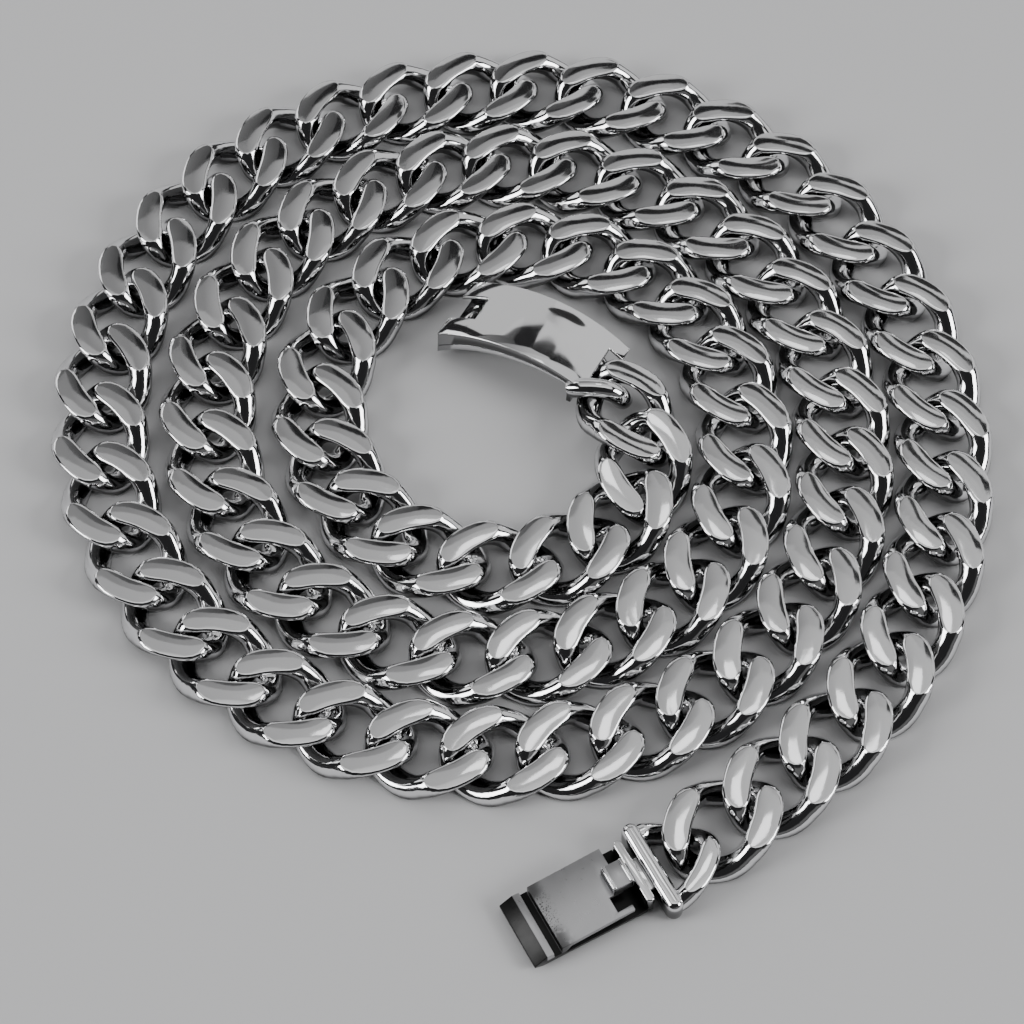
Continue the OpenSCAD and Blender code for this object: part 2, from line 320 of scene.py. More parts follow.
def rings_to_bmesh(rings, closed):
    """Skin over rings of equal length. Faces over the ground chords get the second material."""
    bm = bmesh.new()
    rows = [[bm.verts.new(point) for point in ring] for ring in rings]
    size = len(rings[0])
    lower = FACE_PARTS + ARC_PARTS + 2 * RIM_PARTS
    ground = set(range(FACE_PARTS)) | set(range(lower, lower + FACE_PARTS))
    for i in range(len(rows) - (0 if closed else 1)):
        here = rows[i]
        after = rows[(i + 1) % len(rows)]
        for j in range(size):
            k = (j + 1) % size
            face = bm.faces.new((here[j], after[j], after[k], here[k]))
            face.material_index = GROUND if j in ground else POLISH
            face.smooth = True
    if not closed:
        for row in (rows[0], rows[-1]):
            bm.faces.new(row)
    bmesh.ops.remove_doubles(bm, verts=bm.verts, dist=WELD)
    bmesh.ops.recalc_face_normals(bm, faces=bm.faces)
    return bm


def bmesh_arrays(bm):
    """Points, faces and material numbers of a bmesh, ready to be copied many times."""
    bm.verts.index_update()
    points = np.array([v.co for v in bm.verts])
    faces = [[v.index for v in f.verts] for f in bm.faces]
    slots = [f.material_index for f in bm.faces]
    bm.free()
    return points, faces, slots


link_rings = [ring_points(t, *LINK_SIZE, FACE_SPREAD, FACE_Z) for t in link_angles]
link_points, link_faces, link_slots = bmesh_arrays(rings_to_bmesh(link_rings, closed=True))
print("one link:", len(link_points), "points,", len(link_faces), "faces, from",
      link_points.min(axis=0).round(5), "to", link_points.max(axis=0).round(5))

# %% [markdown]
# ## Polished silver
#
# A mirror finish has hardly any colour of its own. What makes it look like metal is what
# it mirrors, and the small faults of hand polishing: a slight wave in the surface, a fine
# grain on the faces that were ground flat, and faint marks of wear. All of these are
# made with noise, because an image would show its edge somewhere on a long chain.
#
# The lower sides of the wire and of the box, which face the floor, get a painted shade: the shader reads
# how far a spot faces the floor and gives it a darker colour there. This painted shade draws the black
# lines between the links.

# %% Small helpers for node trees
def add_node(tree, kind, **settings):
    """A new node, with its inputs or its options set by name."""
    node = tree.nodes.new(kind)
    for key, value in settings.items():
        if key in node.inputs:
            node.inputs[key].default_value = value
        else:
            setattr(node, key, value)
    return node


def noise(tree, place, **settings):
    """Noise from 0 to 1 at a place."""
    node = add_node(tree, "ShaderNodeTexNoise", **settings)
    tree.links.new(place, node.inputs["Vector"])
    return node.outputs["Fac"]


def ramp(tree, source, start, stop, low=0.0, high=1.0, kind="LINEAR"):
    """A value that goes from low to high while the source goes from start to stop."""
    node = add_node(tree, "ShaderNodeMapRange", interpolation_type=kind)
    node.inputs["From Min"].default_value = start
    node.inputs["From Max"].default_value = stop
    node.inputs["To Min"].default_value = low
    node.inputs["To Max"].default_value = high
    tree.links.new(source, node.inputs["Value"])
    return node.outputs["Result"]


def blend_tones(tree, share, dark, light):
    """A colour between two others, by a share from 0 to 1."""
    node = add_node(tree, "ShaderNodeMix", data_type="RGBA")
    node.inputs["A"].default_value = dark
    node.inputs["B"].default_value = light
    tree.links.new(share, node.inputs["Factor"])
    return node.outputs["Result"]


def grey(tone, blue=1.0):
    """An opaque grey. blue above 1 makes it a little cooler."""
    return (tone, tone, tone * blue, 1)


print("a middle grey as a colour:", grey(0.5))

# %% A polished metal with waves, grain and wear
WEAR_SCALE = 900.0
WAVE_SCALE = 180.0
GRAIN_SCALE = 6000.0
SILVER_BLUE = 1.01
PAINTED_SHADE_FROM = -0.05
PAINTED_SHADE_TO = 0.4


def polished_metal(name, tone, rough_low, rough_high, wave, grain, under=None):
    """Metal with waves and grain of the given heights, and a roughness that varies.

    under is the colour of a painted shade on the sides that face the floor, if they get one.
    """
    material = bpy.data.materials.new(name)
    material.use_nodes = True
    tree = material.node_tree
    shader = tree.nodes["Principled BSDF"]
    shader.inputs["Metallic"].default_value = 1.0
    shader.inputs["Base Color"].default_value = grey(tone, SILVER_BLUE)
    where = add_node(tree, "ShaderNodeTexCoord")
    place = where.outputs["Object"]
    wear = noise(tree, place, Scale=WEAR_SCALE, Detail=4.0, Roughness=0.6)
    waves = noise(tree, place, Scale=WAVE_SCALE, Detail=1.0)
    grains = noise(tree, place, Scale=GRAIN_SCALE, Detail=2.0)
    low_bump = add_node(tree, "ShaderNodeBump", Strength=1.0, Distance=wave)
    high_bump = add_node(tree, "ShaderNodeBump", Strength=1.0, Distance=grain)
    link = tree.links.new
    link(ramp(tree, wear, 0.0, 1.0, rough_low, rough_high), shader.inputs["Roughness"])
    link(waves, low_bump.inputs["Height"])
    link(grains, high_bump.inputs["Height"])
    link(low_bump.outputs["Normal"], high_bump.inputs["Normal"])
    link(high_bump.outputs["Normal"], shader.inputs["Normal"])
    # Painted shade: the sides that face the floor get the darker colour under.
    if under:
        split = add_node(tree, "ShaderNodeSeparateXYZ")
        link(where.outputs["Normal"], split.inputs[0])
        upward = ramp(tree, split.outputs["Z"], PAINTED_SHADE_FROM, PAINTED_SHADE_TO, kind="SMOOTHSTEP")
        colour = blend_tones(tree, upward, grey(under), grey(tone, SILVER_BLUE))
        link(colour, shader.inputs["Base Color"])
    return material


# The wire gets a painted shade on the sides that face the floor.
wire_polish = polished_metal("wire_polish", tone=0.86, rough_low=0.05, rough_high=0.12,
                             wave=0.00012, grain=0.0, under=0.09)
face_polish = polished_metal("face_polish", tone=0.80, rough_low=0.05, rough_high=0.12,
                             wave=0.00008, grain=0.0000008)
print("finishes:", wire_polish.name, "and", face_polish.name)

# %% [markdown]
# ## The two halves of the chain
#
# Eighty-seven links are far too many to keep as separate objects. An Array modifier with
# a curve would bend each link along with the route, but a real link is stiff. So the
# finished link is stamped at each place, whole and unbent, into one mesh for each half.
#
# Links never lie quite level. Each one leans by up to 1.3 degrees about its own middle,
# which is enough for neighbours to mirror different parts of the room.

# %% Stamp the link along the route
LEAN = 1.3


def mesh_object(name, points, faces, slots, materials):
    """A new object from plain lists."""
    mesh = bpy.data.meshes.new(name)
    mesh.from_pydata([tuple(p) for p in points], [], faces)
    for material in materials:
        mesh.materials.append(material)
    mesh.polygons.foreach_set("material_index", slots)
    mesh.polygons.foreach_set("use_smooth", [True] * len(faces))
    mesh.update()
    thing = bpy.data.objects.new(name, mesh)
    bpy.context.scene.collection.objects.link(thing)
    return thing


def stamp_links(name, places, materials, seed):
    """One mesh of a link at every place, each with a lean of its own."""
    chance = np.random.default_rng(seed)
    points = []
    faces = []
    slots = []
    for middle, rotation in places:
        start = len(points) * len(link_points)
        lean = turn(*chance.uniform(-LEAN, LEAN, 2), 0)
        points.append(link_points @ (rotation @ lean).T + middle)
        faces += [[start + v for v in face] for face in link_faces]
        slots += link_slots
    return mesh_object(name, np.concatenate(points), faces, slots, materials)


print("both halves will hold", len(links) * len(link_faces), "faces")

# %% Both halves, with seeds that leave every link clear of its neighbours
OUTER_SEED = 3
INNER_SEED = 10
chain_finishes = [wire_polish, face_polish]
outer_links = stamp_links("outer_links", links[:half_way], chain_finishes, OUTER_SEED)
inner_links = stamp_links("inner_links", links[half_way:], chain_finishes, INNER_SEED)
for piece, node in ((outer_links, "chain_outer"), (inner_links, "chain_inner")):
    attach(piece, "root")
    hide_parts(node)
    print(piece.name, len(piece.data.polygons), "faces")

# %% [markdown]
# ## The half links of the clasp
#
# Each half of the clasp ends in half a link, so that the chain passes into it without a
# break. It is the same bent wire, a little thinner, with two straight ends that are
# soldered on. The one on the tongue was ground with the chain. The one on the box stands
# clear of the stone and is round all the way.
#
# We could cut a whole link in two and close the cut ends. It is simpler to draw only the
# rings that are wanted, with the helpers of the whole link, and these close the ends too.

# %% Half a link as a bmesh
HALF_WIRE_D = 0.0024
HALF_RINGS = 33
HALF_TWIST_H = TWIST_H * HALF_WIRE_D / WIRE_D


def half_link(start, stop, half_width, face, tail):
    """Half a link between two angles in degrees, with straight tails along x."""
    size = (HALF_L, half_width, HALF_TWIST_H, HALF_WIRE_D / 2)
    if face < HALF_TWIST_H + HALF_WIRE_D / 2:
        angles = ring_angles(range(start // 90, stop // 90), *size, face) + [math.radians(stop)]
    else:
        angles = np.linspace(math.radians(start), math.radians(stop), HALF_RINGS)
    rings = [ring_points(t, *size, 0, face) for t in angles]
    shift = np.array([tail, 0, 0])
    rings = [[q + shift for q in rings[0]]] + rings + [[q + shift for q in rings[-1]]]
    return rings_to_bmesh(rings, closed=False)


print("half link wire", HALF_WIRE_D, "thick")

# %% [markdown]
# ## The box of the clasp
#
# The box is folded from sheet: a crowned plate on top, a tray below it, and an end plate
# that carries the half link. The plate stands a hair proud of the tray, and its edge is
# rounded, so it shows as a bright line over the darker wall. We build the plate as a grid
# bent over an arc, because its crown is what makes the long soft reflection. The grid
# leaves out the cells of the thumb notch.

# %% Sizes of the box, in its own frame with x from the half link to the mouth
BOX_L = 0.0214
BOX_W = 0.0095
BOX_WAIST = 0.0001
BOX_MOUTH_H = 0.0036
BOX_RISE = 0.0031
BOX_SHEET = 0.00045
BOX_X0 = -0.0026
BOX_X1 = BOX_X0 + BOX_L
BOX_MID = (BOX_X0 + BOX_X1) / 2
BOX_END_Z = 0.00075
TOP_R = (BOX_L**2 / 4 + BOX_RISE**2) / (2 * BOX_RISE)
TOP_Z = BOX_END_Z + BOX_RISE - TOP_R
UNDER_BACK = 0.002
UNDER_MID = BOX_MID - UNDER_BACK
UNDER_R = 0.0195
MOUTH_Z = BOX_END_Z - BOX_MOUTH_H
UNDER_Z = MOUTH_Z - math.sqrt(UNDER_R**2 - (BOX_X1 - UNDER_MID) ** 2)
BOX_AT = np.array([0.00905, 0.01295, 0.0019 + FACE_Z]) - MIDDLE
BOX_TURN = turn(roll=6.5, pitch=1, yaw=152.5)


def box_half(x):
    """Half the width of the box at x."""
    return BOX_W / 2 - BOX_WAIST * ((x - BOX_MID) / (BOX_L / 2)) ** 2


def box_top(x):
    """Height of the arc over the plate at x."""
    return TOP_Z + math.sqrt(TOP_R**2 - (x - BOX_MID) ** 2)


def box_under(x):
    """Height of the arc under the tray at x."""
    return UNDER_Z + math.sqrt(UNDER_R**2 - (x - UNDER_MID) ** 2)


print("arc over the plate:", round(TOP_R, 4), "in radius; under the tray:", UNDER_R)

# %% A bent slab over a grid
def close_side(bm, one, two):
    """Close the side of a slab between two pairs of an upper and a lower point."""
    bm.faces.new((two[0], one[0], one[1], two[1]))


def slab_from_grid(bm, xs, lines, upper, lower, keep):
    """A bent slab over a grid of stations and lines. keep says which cells have metal."""
    rows = []
    for x in xs:
        row = []
        for y in lines(x):
            row.append((bm.verts.new((x, y, upper(x, y))), bm.verts.new((x, y, lower(x, y)))))
        rows.append(row)
    along = len(xs) - 1
    across = len(rows[0]) - 1
    for i in range(along):
        for j in range(across):
            if not keep(i, j):
                continue
            corners = [rows[i][j], rows[i + 1][j], rows[i + 1][j + 1], rows[i][j + 1]]
            bm.faces.new([c[0] for c in corners])
            bm.faces.new([c[1] for c in corners][::-1])
            neighbours = [(i, j - 1), (i + 1, j), (i, j + 1), (i - 1, j)]
            for n, (a, b) in enumerate(neighbours):
                if not (0 <= a < along and 0 <= b < across and keep(a, b)):
                    close_side(bm, corners[n], corners[(n + 1) % 4])
    loose = [v for v in bm.verts if not v.link_faces]
    bmesh.ops.delete(bm, geom=loose, context="VERTS")


cell = bmesh.new()
slab_from_grid(cell, [0, 1], lambda x: [0, 1], lambda x, y: 1, lambda x, y: 0, lambda i, j: True)
print("a slab of one cell has", len(cell.faces), "faces")
cell.free()

# %% The crowned plate with its notch and the wing beside the half link
NOTCH_W = 0.0036
NOTCH_L = 0.0036
NOTCH_SPLIT = 0.0006
NOTCH_CELLS = (3, 4, 5)
NOTCH_STATIONS = 7
PLATE_STATIONS = 29
PLATE_CROWN = 0.00012
ROOF_X0 = -0.0008
WING_W = 0.0021


def plate_bmesh():
    """The plate, from the wing over the half link to the two prongs beside the notch."""
    bm = bmesh.new()
    notch_x = BOX_X1 - NOTCH_L
    xs = [BOX_X0, ROOF_X0] + list(np.linspace(ROOF_X0, notch_x, PLATE_STATIONS))[1:]
    xs += list(np.linspace(notch_x, BOX_X1, NOTCH_STATIONS))[1:]
    notch_row = len(xs) - NOTCH_STATIONS

    def lines(x):
        half = box_half(x)
        wing = -half + WING_W
        side = NOTCH_W / 2
        return [-half, wing, (wing - side) / 2, -side, -NOTCH_SPLIT, NOTCH_SPLIT, side,
                (side + half) / 2, half]

    def keep(i, j):
        if i == 0:
            return j == 0
        return not (i >= notch_row and j in NOTCH_CELLS)

    def upper(x, y):
        return box_top(x) - PLATE_CROWN * (y / (BOX_W / 2)) ** 2

    slab_from_grid(bm, xs, lines, upper, lambda x, y: box_top(x) - BOX_SHEET, keep)
    return bm


plate = plate_bmesh()
print("plate:", len(plate.faces), "faces before its edges are rounded")

# %% The tray under the plate
PLATE_LIP = 0.00012
END_X = 0.0007
MOUTH_STEP = 0.00005
TRAY_STATIONS = 33
GROOVE_AT = 0.35
GROOVE_HALF = 0.0001
GROOVE_DEPTH = 0.00005


def tray_section(x):
    """Points round the tray at x, outside and back inside, with a groove along each wall."""
    half = box_half(x) - PLATE_LIP
    roof = box_top(x) - BOX_SHEET
    base = box_under(x)
    line = base + GROOVE_AT * (roof - base)
    wall = [
        (half, roof),
        (half, line + GROOVE_HALF),
        (half - GROOVE_DEPTH, line),
        (half, line - GROOVE_HALF),
        (half, base),
    ]
    outer = wall + [(-y, z) for y, z in wall[::-1]]
    limit = half - BOX_SHEET
    inner = [(max(-limit, min(limit, y)), max(z, base + BOX_SHEET)) for y, z in outer]
    return [(x, y, z) for y, z in outer + inner[::-1]]


def tray_bmesh():
    """The tray from its end plate to just inside the mouth."""
    bm = bmesh.new()
    rows = []
    for x in np.linspace(END_X, BOX_X1 - MOUTH_STEP, TRAY_STATIONS):
        rows.append([bm.verts.new(q) for q in tray_section(x)])
    count = len(rows[0])
    for i in range(len(rows) - 1):
        for j in range(count):
            k = (j + 1) % count
            bm.faces.new((rows[i][j], rows[i + 1][j], rows[i + 1][k], rows[i][k]))
    bm.faces.new(rows[0])
    bm.faces.new(rows[-1][::-1])
    bmesh.ops.remove_doubles(bm, verts=bm.verts, dist=WELD)
    return bm


tray = tray_bmesh()
print("tray:", len(tray.faces), "faces")

# %% The end plate
END_T = 0.0006
END_LOW = 0.0017


def block_bmesh(low, high):
    """A plain block between two corners, to be bevelled later."""
    bm = bmesh.new()
    bmesh.ops.create_cube(bm, size=1)
    size = Vector(high) - Vector(low)
    bmesh.ops.scale(bm, vec=size, verts=bm.verts)
    bmesh.ops.translate(bm, vec=(Vector(low) + Vector(high)) / 2, verts=bm.verts)
    return bm


end_half = box_half(END_X) - PLATE_LIP
end_top = box_top(END_X) - BOX_SHEET / 2
end_plate = block_bmesh((END_X, -end_half, -END_LOW), (END_X + END_T, end_half, end_top))
print("end plate", round(2 * end_half, 5), "wide and", round(end_top + END_LOW, 5), "high")

# %% Round the edges, and join solids into one finished piece
FLAT_ANGLE = 30


def sharp_edge(edge, angle):
    """Whether an edge bends by more than an angle in degrees."""
    return len(edge.link_faces) == 2 and edge.calc_face_angle(0) > math.radians(angle)


def bevelled(bm, width, segments=2, sharp=35):
    """Round the edges that are sharper than the given angle."""
    bmesh.ops.recalc_face_normals(bm, faces=bm.faces)
    edges = [e for e in bm.edges if sharp_edge(e, sharp)]
    bmesh.ops.bevel(bm, geom=edges, offset=width, segments=segments, profile=0.5, affect="EDGES",
                    clamp_overlap=True)
    return bm


def joined(name, solids, place, rotation, materials):
    """One object from several bmeshes, each given with its material number.

    Smooth shading stops at the edges that are still sharp.
    """
    points = []
    faces = []
    slots = []
    total = 0
    for bm, slot in solids:
        some_points, some_faces, some_slots = bmesh_arrays(bm)
        points.append(some_points)
        faces += [[total + v for v in face] for face in some_faces]
        slots += [slot] * len(some_faces)
        total += len(some_points)
    placed = np.concatenate(points) @ rotation.T + place
    thing = mesh_object(name, placed, faces, slots, materials)
    bm = bmesh.new()
    bm.from_mesh(thing.data)
    for edge in bm.edges:
        edge.smooth = not sharp_edge(edge, FLAT_ANGLE)
    bm.to_mesh(thing.data)
    bm.free()
    return thing


print("shading stays smooth up to", FLAT_ANGLE, "degrees")

# %% The finished box
BOX_LINK_W = 0.0092
BOX_LINK_FROM = 100
BOX_LINK_TO = 270
BOX_LINK_ROOT = 0.0003
BOX_LINK_AT = np.array([0.0011, 0.0011, -0.0004])
BOX_LINK_TURN = turn(roll=13, pitch=0, yaw=-8)
PLATE_EDGE = 0.00012
TRAY_EDGE = 0.00006
END_EDGE = 0.0001

# The box gets a painted shade on the sides that face the floor, as the wire does.
box_polish = polished_metal("box_polish", tone=0.88, rough_low=0.04, rough_high=0.10,
                            wave=0.0001, grain=0.0, under=0.07)
box_link_half = (BOX_LINK_W - HALF_WIRE_D) / 2
box_link = half_link(BOX_LINK_FROM, BOX_LINK_TO, box_link_half, CHAIN_T, BOX_LINK_ROOT)
for vertex in box_link.verts:
    vertex.co = BOX_LINK_TURN @ np.array(vertex.co) + BOX_LINK_AT
box_solids = [
    (bevelled(plate, PLATE_EDGE, segments=3), POLISH),
    (bevelled(tray, TRAY_EDGE, segments=1, sharp=60), POLISH),
    (bevelled(end_plate, END_EDGE), POLISH),
    (box_link, POLISH),
]
box_of_clasp = joined("box_of_clasp", box_solids, BOX_AT, BOX_TURN, [box_polish])
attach(box_of_clasp, "root")
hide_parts("clasp_box")
print("box of the clasp:", len(box_of_clasp.data.polygons), "faces")

# %% [markdown]
# ## The tongue of the clasp
#
# The tongue is one strip folded back over itself, so that its upper leaf springs. It is
# pushed into the box until the leaf's edge snaps behind the mouth, and a thumb tab lets
# the wearer press it down again. The side view is a simple outline, so the strip is an
# outline pushed out to its width. A window is cut beside the tab, and bars are added for
# the collar and the shoulder.

# %% Sizes of the strip, in the tongue's own frame with x towards the chain
TONGUE_L = 0.0175
SHOULDER_T = 0.002
COLLAR_T = 0.001
COLLAR_GAP = 0.0005
COLLAR_X = -SHOULDER_T - COLLAR_GAP - COLLAR_T
LEAF_T = 0.0006
LEAF_CLEAR = 0.00015
LEAF_W = BOX_W - 2 * (BOX_WAIST + BOX_SHEET + LEAF_CLEAR)
LEAF_Y = 0.0006
LEAF_Z = 0.0003
LEAF_END = -0.0051
LEAF_RISE = 0.0025
LEAF_END_RISE = 0.0028
RIDGE_L = 0.0009
GROOVE_L = 0.001
TIP_L = 0.0015
RIDGE_X = TIP_L - TONGUE_L
LEAF_X0 = RIDGE_X + RIDGE_L + GROOVE_L
print("leaf", round(LEAF_W, 5), "wide and", round(LEAF_END - LEAF_X0, 5), "long")

# %% The folded strip
STRIP_TUCK = 0.0001
TIP_SLOPE = 0.0005
TIP_LOW = 0.0005
TIP_HIGH = 0.0009
RIDGE_DROP = 0.0003
GROOVE_DROP = 0.0012
FOLD_TOP = 0.0012
FOLD_LOW = 0.0004
LEAF_SHARES = (0.15, 0.35, 0.6, 0.8)
GROOVE_X = RIDGE_X + RIDGE_L
STRIP_END = COLLAR_X + STRIP_TUCK


def extruded_outline(outline, y0, y1):
    """A solid from an outline in x and z, pushed out along y."""
    bm = bmesh.new()
    near = [bm.verts.new((x, y0, z)) for x, z in outline]
    far = [bm.verts.new((x, y1, z)) for x, z in outline]
    bm.faces.new(near)
    bm.faces.new(far[::-1])
    for i in range(len(outline)):
        k = (i + 1) % len(outline)
        bm.faces.new((near[i], far[i], far[k], near[k]))
    return bm


def strip_outline():
    """Lower strip, tip, ridge, groove and upper leaf, seen from the side."""
    top = LEAF_Z + LEAF_END_RISE
    outline = [
        (STRIP_END, LEAF_Z),
        (RIDGE_X - TIP_SLOPE, LEAF_Z),
        (-TONGUE_L, LEAF_Z + TIP_LOW),
        (-TONGUE_L, LEAF_Z + TIP_HIGH),
        (RIDGE_X, LEAF_RISE - RIDGE_DROP),
        (GROOVE_X, LEAF_RISE - RIDGE_DROP),
        (GROOVE_X, LEAF_RISE - GROOVE_DROP),
        (LEAF_X0, LEAF_RISE - GROOVE_DROP),
        (LEAF_X0, LEAF_RISE),
    ]
    for share in LEAF_SHARES:
        x = LEAF_X0 + share * (LEAF_END - LEAF_X0)
        outline.append((x, LEAF_RISE + share * (top - LEAF_RISE)))
    return outline + [
        (LEAF_END, top),
        (LEAF_END, top - LEAF_T),
        (LEAF_X0 + FOLD_TOP, LEAF_RISE - LEAF_T),
        (LEAF_X0 + FOLD_LOW, LEAF_Z + LEAF_T),
        (STRIP_END, LEAF_Z + LEAF_T),
    ]


folded = extruded_outline(strip_outline(), LEAF_Y - LEAF_W / 2, LEAF_Y + LEAF_W / 2)
print("side view of the strip:", len(strip_outline()), "corners")

# %% The window beside the tab
TAB_PLAY = 0.0003
TAB_W = NOTCH_W - 2 * TAB_PLAY
TAB_Y = LEAF_Y - TAB_W / 2
HOLE_L = 0.0018
HOLE_W = 0.0019
HOLE_PAST = 0.001


def object_from_bmesh(name, bm):
    """A new object that holds the bmesh."""
    bmesh.ops.recalc_face_normals(bm, faces=bm.faces)
    mesh = bpy.data.meshes.new(name)
    bm.to_mesh(mesh)
    bm.free()
    thing = bpy.data.objects.new(name, mesh)
    bpy.context.scene.collection.objects.link(thing)
    return thing


def cut_away(bm, cutter):
    """A Boolean difference of two closed bmeshes, given back as a bmesh."""
    body = object_from_bmesh("body", bm)
    tool = object_from_bmesh("tool", cutter)
    change = body.modifiers.new("cut", "BOOLEAN")
    change.operation = "DIFFERENCE"
    change.solver = "EXACT"
    change.object = tool
    graph = bpy.context.evaluated_depsgraph_get()
    result = bpy.data.meshes.new_from_object(body.evaluated_get(graph))
    out = bmesh.new()
    out.from_mesh(result)
    for thing in (body, tool):
        bpy.data.objects.remove(thing)
    return out


window = block_bmesh((LEAF_END - HOLE_L, TAB_Y - HOLE_W, LEAF_Z + 2 * LEAF_T),
                     (LEAF_END + HOLE_PAST, TAB_Y, LEAF_Z + LEAF_T + LEAF_END_RISE))
strip = cut_away(folded, window)
print("strip with its window:", len(strip.faces), "faces")

# %% Shoulder, collar and neck
SHOULDER_W = 0.0116
SHOULDER_H = 0.0036
COLLAR_H = 0.0027
NECK_H = 0.0021
BAR_SIDES = 12


def bar_bmesh(x, length, wide, low, high):
    """A bar across the chain with round ends."""
    bm = bmesh.new()
    r = length / 2
    outline = []
    for side in (1, -1):
        for k in range(BAR_SIDES + 1):
            angle = math.pi * k / BAR_SIDES + (0 if side > 0 else math.pi)
            across = side * (wide / 2 - r) + r * math.sin(angle)
            outline.append((x + r + r * math.cos(angle), across))
    lower = [bm.verts.new((px, py, low)) for px, py in outline]
    upper = [bm.verts.new((px, py, high)) for px, py in outline]
    bm.faces.new(lower[::-1])
    bm.faces.new(upper)
    for i in range(len(outline)):
        k = (i + 1) % len(outline)
        bm.faces.new((lower[i], lower[k], upper[k], upper[i]))
    return bm


shoulder = bar_bmesh(-SHOULDER_T, SHOULDER_T, SHOULDER_W, 0, SHOULDER_H)
collar = bar_bmesh(COLLAR_X, COLLAR_T, LEAF_W, LEAF_Z, LEAF_Z + COLLAR_H)
bmesh.ops.translate(collar, vec=(0, LEAF_Y, 0), verts=collar.verts)
neck = block_bmesh((COLLAR_X, -LEAF_W / 4, LEAF_Z), (-SHOULDER_T / 2, LEAF_W / 4, LEAF_Z + NECK_H))
print("shoulder", SHOULDER_W, "and collar", round(LEAF_W, 5), "across the chain")

# %% The thumb tab with a ridge along each side
TAB_L = 0.0026
TAB_H = 0.0012
TAB_RIDGE = 0.0005
TAB_BASE = LEAF_Z + LEAF_END_RISE - LEAF_T / 2
TAB_TOP = TAB_BASE + LEAF_T / 2 + TAB_H
TAB_X0 = LEAF_END - TAB_L / 2
TAB_X1 = LEAF_END + TAB_L / 2
RIDGE_EDGE = 0.00018

tab = block_bmesh((TAB_X0, TAB_Y, TAB_BASE), (TAB_X1, TAB_Y + TAB_W, TAB_TOP))
tab_ridges = []
for x in (TAB_X0, TAB_X1 - TAB_RIDGE):
    low = (x, TAB_Y, TAB_BASE)
    high = (x + TAB_RIDGE, TAB_Y + TAB_W, TAB_TOP + TAB_RIDGE / 2)
    tab_ridges.append((bevelled(block_bmesh(low, high), RIDGE_EDGE, segments=3), POLISH))
print("tab", round(TAB_W, 5), "wide, up to", round(TAB_TOP, 5))

# %% [markdown]
# ## The tongue's worn finish and painted shade
#
# The strip slides in and out of the box, so it is satin and not mirror bright. The groove behind the ridge
# and the lower strip under the leaf get a painted shade, the tip is dark, and the end of the leaf is pitted
# and smudged towards its corners. We could paint this as a picture on the mesh.
# Soft steps along the strip's own length do it with no picture, and stay sharp up close.

# %% Where the tongue lies, and where its wear sits
TONGUE_YAW = 28.5
TONGUE_AT = np.array([ROUTE[0][0], ROUTE[0][1], 0]) - MIDDLE
SOFT = 0.00012
SMUDGE = 0.0024
SMUDGE_FAR = (0.0012, 0.0032)
SMUDGE_NEAR = (-0.0004, -0.0028)
PIT_SCALE = 5200.0
PIT_EDGE = (0.5, 0.62)
CLOUD_SCALE = 900.0
CLOUD_EDGE = (0.3, 0.5)
DULL_SHARE = 0.25
# Dark colour of the tip and of the pits and smudges, and the colour of a painted shade in the groove and on
# the lower strip.
DIRT_AND_PAINTED_SHADE = (0.02, 0.02, 0.02, 1)
SATIN_TONE = (0.48, 0.48, 0.49, 1)
print("tongue at", TONGUE_AT.round(5), "turned by", TONGUE_YAW, "degrees; worn over", SMUDGE)

